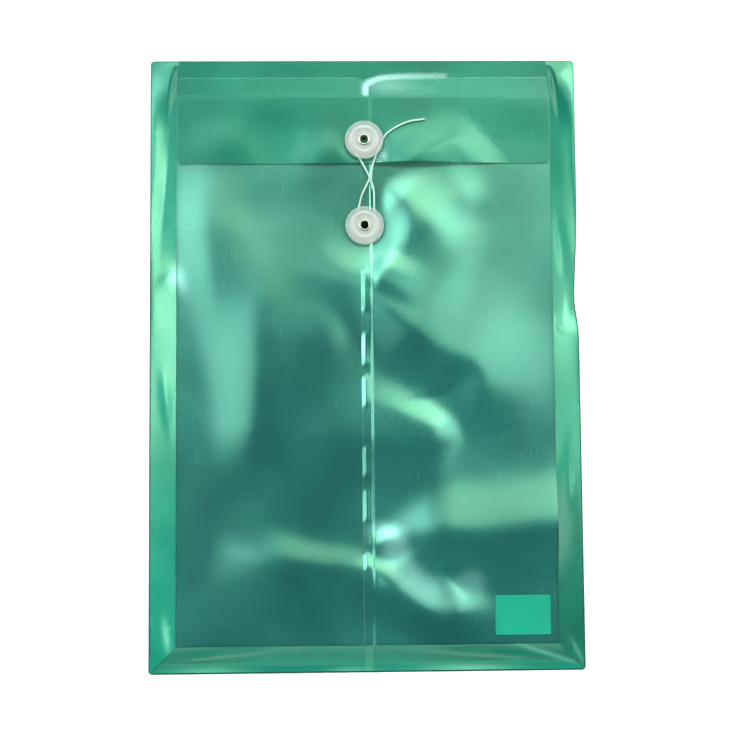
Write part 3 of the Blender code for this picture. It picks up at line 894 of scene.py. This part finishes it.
def turned(name, profile, y, paint, bevel):
    """A ring turned from a closed profile of (radius, height): a circle, extruded and scaled from point to
    point."""
    radius, height = profile[0]
    axis = (0, y * MM, 0)
    bpy.ops.object.select_all(action="DESELECT")
    bpy.ops.mesh.primitive_circle_add(vertices=ROUND, radius=radius * MM, location=(0, y * MM, height * MM))
    piece = bpy.context.object
    piece.name = name
    bpy.ops.object.transform_apply(location=True)
    bpy.ops.object.mode_set(mode="EDIT")
    bpy.ops.mesh.select_all(action="SELECT")
    for (r0, h0), (r1, h1) in zip(profile, profile[1:]):
        bpy.ops.mesh.extrude_edges_move(TRANSFORM_OT_translate={"value": (0, 0, (h1 - h0) * MM)})
        bpy.ops.transform.resize(value=(r1 / r0, r1 / r0, 1), center_override=axis)
    bpy.ops.mesh.select_all(action="DESELECT")
    bpy.ops.mesh.select_non_manifold()
    bpy.ops.mesh.bridge_edge_loops()
    bpy.ops.mesh.select_all(action="SELECT")
    bpy.ops.mesh.normals_make_consistent(inside=False)
    bpy.ops.object.mode_set(mode="OBJECT")
    if bevel:
        corners = {"limit_method": "ANGLE", "angle_limit": math.radians(35)}
        apply_modifier(piece, "BEVEL", width=bevel * MM, segments=2, **corners)
    alone(piece)
    bpy.ops.object.shade_smooth_by_angle(angle=math.radians(40))
    piece.data.materials.append(paint)
    return piece


def button_profile(low, high):
    """Boss, thin flange with a round rim, and a low ring on its face, from the foot's height up."""
    foot, face = low.z, high.z - 0.2
    under = face - 1.0
    rim = high.x - 0.3
    return [
        (RIVET_HOLE, foot),
        (5.0, foot),
        (5.0, under - 0.2),
        (5.2, under),
        (rim - 0.3, under),
        (rim - 0.08, under + 0.12),
        (rim, under + 0.4),
        (rim - 0.05, face - 0.2),
        (rim - 0.2, face - 0.04),
        (rim - 0.5, face),
        (rim - 1.4, face - 0.04),
        (8.5, face - 0.25),
        (8.0, face - 0.25),
        (7.5, face + 0.1),
        (7.1, face + 0.19),
        (6.6, face + 0.2),
        (6.2, face + 0.14),
        (5.6, face - 0.25),
        (4.8, face - 0.3),
        (3.6, face),
        (RIVET_HOLE, face - 0.02),
    ]


def eyelet_profile(low, high):
    """Tube with a rolled lip on the button and a flattened roll under the film."""
    top, roll = high.z, low.z
    bore, shank = 2.1, 2.5
    return [
        (bore, roll + 0.15),
        (bore + 0.15, roll),
        (2.9, roll),
        (3.15, roll + 0.12),
        (3.2, roll + 0.36),
        (shank, roll + 0.4),
        (shank, top - 0.4),
        (2.95, top - 0.4),
        (3.1, top - 0.28),
        (3.06, top - 0.12),
        (2.9, top - 0.02),
        (2.6, top),
        (2.35, top - 0.06),
        (2.17, top - 0.2),
        (bore, top - 0.45),
    ]


def washer_profile(low, high):
    """The flat ring between eyelet and film."""
    return [(RIVET_HOLE, low.z), (high.x, low.z), (high.x, high.z), (RIVET_HOLE, high.z)]


def riveted_button(name, y, body, metal):
    """The turning button, and the eyelet and washer that hold it to the film."""
    disc = frosted_polypropylene(name + "_natural_polypropylene", "#CDD6D2", "#B1BCB8", 0.62, 0.36, y)
    clear = frosted_polypropylene(name + "_clear_polypropylene", "#D7F7EF", "#BCE0D6", 0.45, 0.35, y)
    for part, shape, rides_on, bevel, paint, slot in (
        ("button", button_profile, name + "_button", 0, disc, "frosted_disc"),
        ("eyelet", eyelet_profile, body, 0, metal, "nickel"),
        ("eyelet_washer", washer_profile, body, 0.1, clear, "clear_washer"),
    ):
        cad = f"{name}_{part}"
        piece = turned(cad + "_piece", shape(*box_mm(cad)), y, paint, bevel)
        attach(piece, rides_on)
        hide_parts(cad)


# Camera, floor and light: the camera's place in metres, and its turns about X, Y and Z in degrees
CAMERA_PLACE = (-0.01339, -0.05021, 0.68116)
CAMERA_TURNS = (3.961, -1.169, -0.471)


def add_camera():
    """At the photograph's angle: from above, a little towards the foot."""
    camera = bpy.data.objects.new("camera", bpy.data.cameras.new("camera"))
    camera.data.lens = 60
    camera.data.sensor_width = 36
    camera.location = CAMERA_PLACE
    camera.rotation_euler = [math.radians(turn) for turn in CAMERA_TURNS]
    bpy.context.scene.collection.objects.link(camera)
    bpy.context.scene.camera = camera


def add_key_light():
    light = bpy.data.lights.new("key", "AREA")
    light.shape = "RECTANGLE"
    light.size = 0.3
    light.size_y = 0.3
    light.energy = 1.2
    light.color = linear("#FFF8EA")
    lamp = bpy.data.objects.new("key", light)
    place = Vector((0.42, 0.36, 0.62))
    aim = Vector((0.02, 0.03, 0))
    lamp.location = place
    lamp.rotation_euler = (aim - place).to_track_quat("-Z", "Y").to_euler()
    bpy.context.scene.collection.objects.link(lamp)


# The studio's soft windows: lean from straight up (right, towards the top), inner and outer reach in degrees,
# strength and colour
WINDOWS = (
    ((-27, 36), 4, 31, 3.0, "#EAF6FF"),
    ((16, 40), 4, 31, 4.0, "#FFF6E0"),
    ((-36, 8), 4, 27, 3.6, "#F0FAFF"),
    ((-37, 6), 1, 7, 7.0, "#FFFFFF"),
    ((34, 12), 4, 26, 3.0, "#F4FBFF"),
    ((12, 55), 3, 13, 3.6, "#FFFFFF"),
    ((-66, 20), 2, 10, 11.0, "#FFFCEB"),
    ((68, 14), 2, 10, 5.0, "#FFFCEB"),
    ((0, -68), 4, 15, 1.0, "#F4FFFA"),
)


# The studio's own dim light, and its pale wall, which fades out from the floor's level to this height
ROOM = Vector(linear("#EEF2F2")) * 0.07
WALL = (0.9, 0.9, 0.9)
WALL_FADE = {"From Min": 0.3, "From Max": 0.02}


def add_floor():
    bpy.ops.object.select_all(action="DESELECT")
    bpy.ops.mesh.primitive_plane_add(size=8, location=(0, 0, -0.0002))
    floor = bpy.context.object
    floor.name = "floor"
    paint, _, shader = new_paint("white_card")
    shader.inputs["Base Color"].default_value = rgba("#F4F5F4")
    shader.inputs["Roughness"].default_value = 0.9
    shader.inputs["Specular IOR Level"].default_value = 0.1
    floor.data.materials.append(paint)


def add_world():
    world = bpy.data.worlds.new("studio")
    world.use_nodes = True
    tree = world.node_tree
    facing = node(tree, "TexCoord", {}).outputs["Generated"]
    height = node(tree, "SeparateXYZ", {"Vector": facing}).outputs["Z"]
    wall = node(tree, "MapRange", {"Value": height, **WALL_FADE}, interpolation_type="SMOOTHSTEP")
    pale = node(tree, "VectorMath", {0: WALL, "Scale": wall.outputs[0]}, operation="SCALE")
    light = node(tree, "VectorMath", {0: pale.outputs[0], 1: ROOM}, operation="ADD").outputs[0]
    for lean, inner, outer, strength, colour in WINDOWS:
        towards = Vector((math.tan(math.radians(lean[0])), math.tan(math.radians(lean[1])), 1)).normalized()
        near = node(tree, "VectorMath", {0: facing, 1: towards}, operation="DOT_PRODUCT")
        limits = {"From Min": math.cos(math.radians(outer)), "From Max": math.cos(math.radians(inner))}
        seen = {"Value": near.outputs["Value"], **limits}
        share = node(tree, "MapRange", seen, interpolation_type="SMOOTHSTEP")
        glow = Vector(linear(colour)) * strength
        part = node(tree, "VectorMath", {0: glow, "Scale": share.outputs[0]}, operation="SCALE")
        light = node(tree, "VectorMath", {0: light, 1: part.outputs[0]}, operation="ADD").outputs[0]
    tree.links.new(light, tree.nodes["Background"].inputs["Color"])
    bpy.context.scene.world = world
    bpy.context.scene.view_settings.view_transform = "Standard"


# Putting the folder together
def sheet_piece(piece, body, slot, flat, held, rests_on, *nodes, with_pieces=()):
    """A sheet that rides on a body, if one is given, and stands for its nodes, which it hides."""
    if body:
        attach(piece, body)
    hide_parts(*nodes)


def tie_string():
    """The string and its knot, which ride on the flap."""
    twine = cotton_string("bleached_cotton_twine")
    path, length = smooth_points(string_route(), STRING_STEP)
    cord = twisted_tube("tie_cord", path, STRING, False, twine)
    knot = twisted_tube("cord_knot", knot_path(), KNOT_STRING, True, twine)
    for piece, node_name in ((cord, "tie_string"), (knot, "string_knot")):
        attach(piece, "flap")
        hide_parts(node_name)
        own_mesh(piece)


def back_and_strips():
    """The back, the two side strips, and the foot strip with its welded hem."""
    # The back is given a darker green than the same sheet elsewhere: painted shade
    back_paint = polypropylene_film("back_polypropylene_film", "#195750", "#174A45", 0.7, 0.26, 0.5)
    back = back_film(back_paint)
    sheet_piece(back, "pouch", "back_film", (2 * HALF, TOP - FOOT), "laid", [], "back_panel")
    # The strips are given a lighter green than the same sheet on the front: painted light
    strip_paint = polypropylene_film(
        "gusset_polypropylene_film", "#0A9178", "#09836B", 0.78, 0.22, 0.45, "#93F5D0"
    )
    flat = (GUSSET * GUSSET_SLOPE, TOP - FOOT)
    for name, side, fullest in (("left", -1, (32, 58)), ("right", 1, (8, 52))):
        strip = gusset_film(name + "_gusset_film", side, fullest, strip_paint)
        sheet_piece(strip, "pouch", "gusset_film", flat, "folded", ["back_film"], name + "_gusset")
    hem_share = 1 - HEM / GUSSET
    hem = foot_film("bottom_hem_film", hem_share, 1, HEM_FILM, strip_paint, 0.03)
    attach(hem, "pouch")
    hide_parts("bottom_hem")
    foot = foot_film("bottom_gusset_film", 0, hem_share, FILM, strip_paint, 0)
    flat = (2 * HALF, FOOT_SLOPE * hem_share * GUSSET)
    sheet_piece(
        foot, "pouch", "gusset_film", flat, "folded", ["back_film"], "bottom_gusset", with_pieces=[hem]
    )


def front_halves():
    """The two halves of the front, the right one lapped over the left."""
    # The front is given a darker green than the strips and the flap, though it is the same sheet: painted
    # shade
    front_paint = polypropylene_film(
        "front_polypropylene_film", "#1D6C68", "#1B615E", 0.7, 0.23, 1.0, "#ABF4EE"
    )
    left_x = stations(-CREASE_X, (-6, CELL), (LAP_RIGHT, FINE_CELL))
    left = front_half_film("front_left_film", left_x, LAP_RIGHT, -1, lambda x, y: 0, front_paint)
    right_x = stations(LAP_LEFT, (8, FINE_CELL), (CREASE_X, CELL))
    right = front_half_film(
        "front_right_film", right_x, LAP_LEFT, 1, lambda x, y: lap_rise(x) + lap_curl(x, y), front_paint
    )
    for name, piece, width in (("left", left, CREASE_X + LAP_RIGHT), ("right", right, CREASE_X - LAP_LEFT)):
        flat = (width, MOUTH - FOOT_CREASE)
        nodes = (f"front_{name}_panel", f"front_{name}_lip")
        sheet_piece(piece, "pouch", "front_film", flat, "folded", [name + "_gusset_film"], *nodes)


def flap_and_fold():
    """The flap, which bends at its crease, and the top fold that joins it to the back."""
    # The flap is given a lighter green than the front, though it is the same sheet: painted light
    flap_paint = polypropylene_film("flap_polypropylene_film", "#1A866F", "#177763", 0.44, 0.26, 0.4)
    flap = flap_film(flap_paint)
    spine_length = (FLAP_CREASE - FOLD).length
    flat = (2 * FLAP_HALF, spine_length + FLAP_CREASE.y - FLAP_EDGE)
    fronts = ["front_left_film", "front_right_film"]
    sheet_piece(flap, None, "flap_film", flat, "folded", fronts, "flap_spine", "flap_panel")
    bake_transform(flap)
    # The top fold is painted a much darker green than the rest of the same sheet: a painted shade line along
    # the top edge
    fold_shade_paint = polypropylene_film("shaded_fold_polypropylene_film", "#0E3F36", "#0B352D", 0.95, 0.4, 0.1)
    fold = top_fold_film(fold_shade_paint)
    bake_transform(fold)


def stuck_label():
    label = blank_label(label_film("coated_label_film"))
    low, high = box_mm("blank_label")
    flat = (high.x - low.x, high.y - low.y)
    sheet_piece(label, "pouch", "label_film", flat, "laid", ["front_right_film"], "blank_label")


def main():
    add_camera()
    tie_string()
    back_and_strips()
    front_halves()
    flap_and_fold()
    stuck_label()
    metal = nickel_plate("nickel_plated_brass")
    riveted_button("upper", UPPER, "flap", metal)
    riveted_button("lower", LOWER, "pouch", metal)
    add_floor()
    add_key_light()
    add_world()


main()
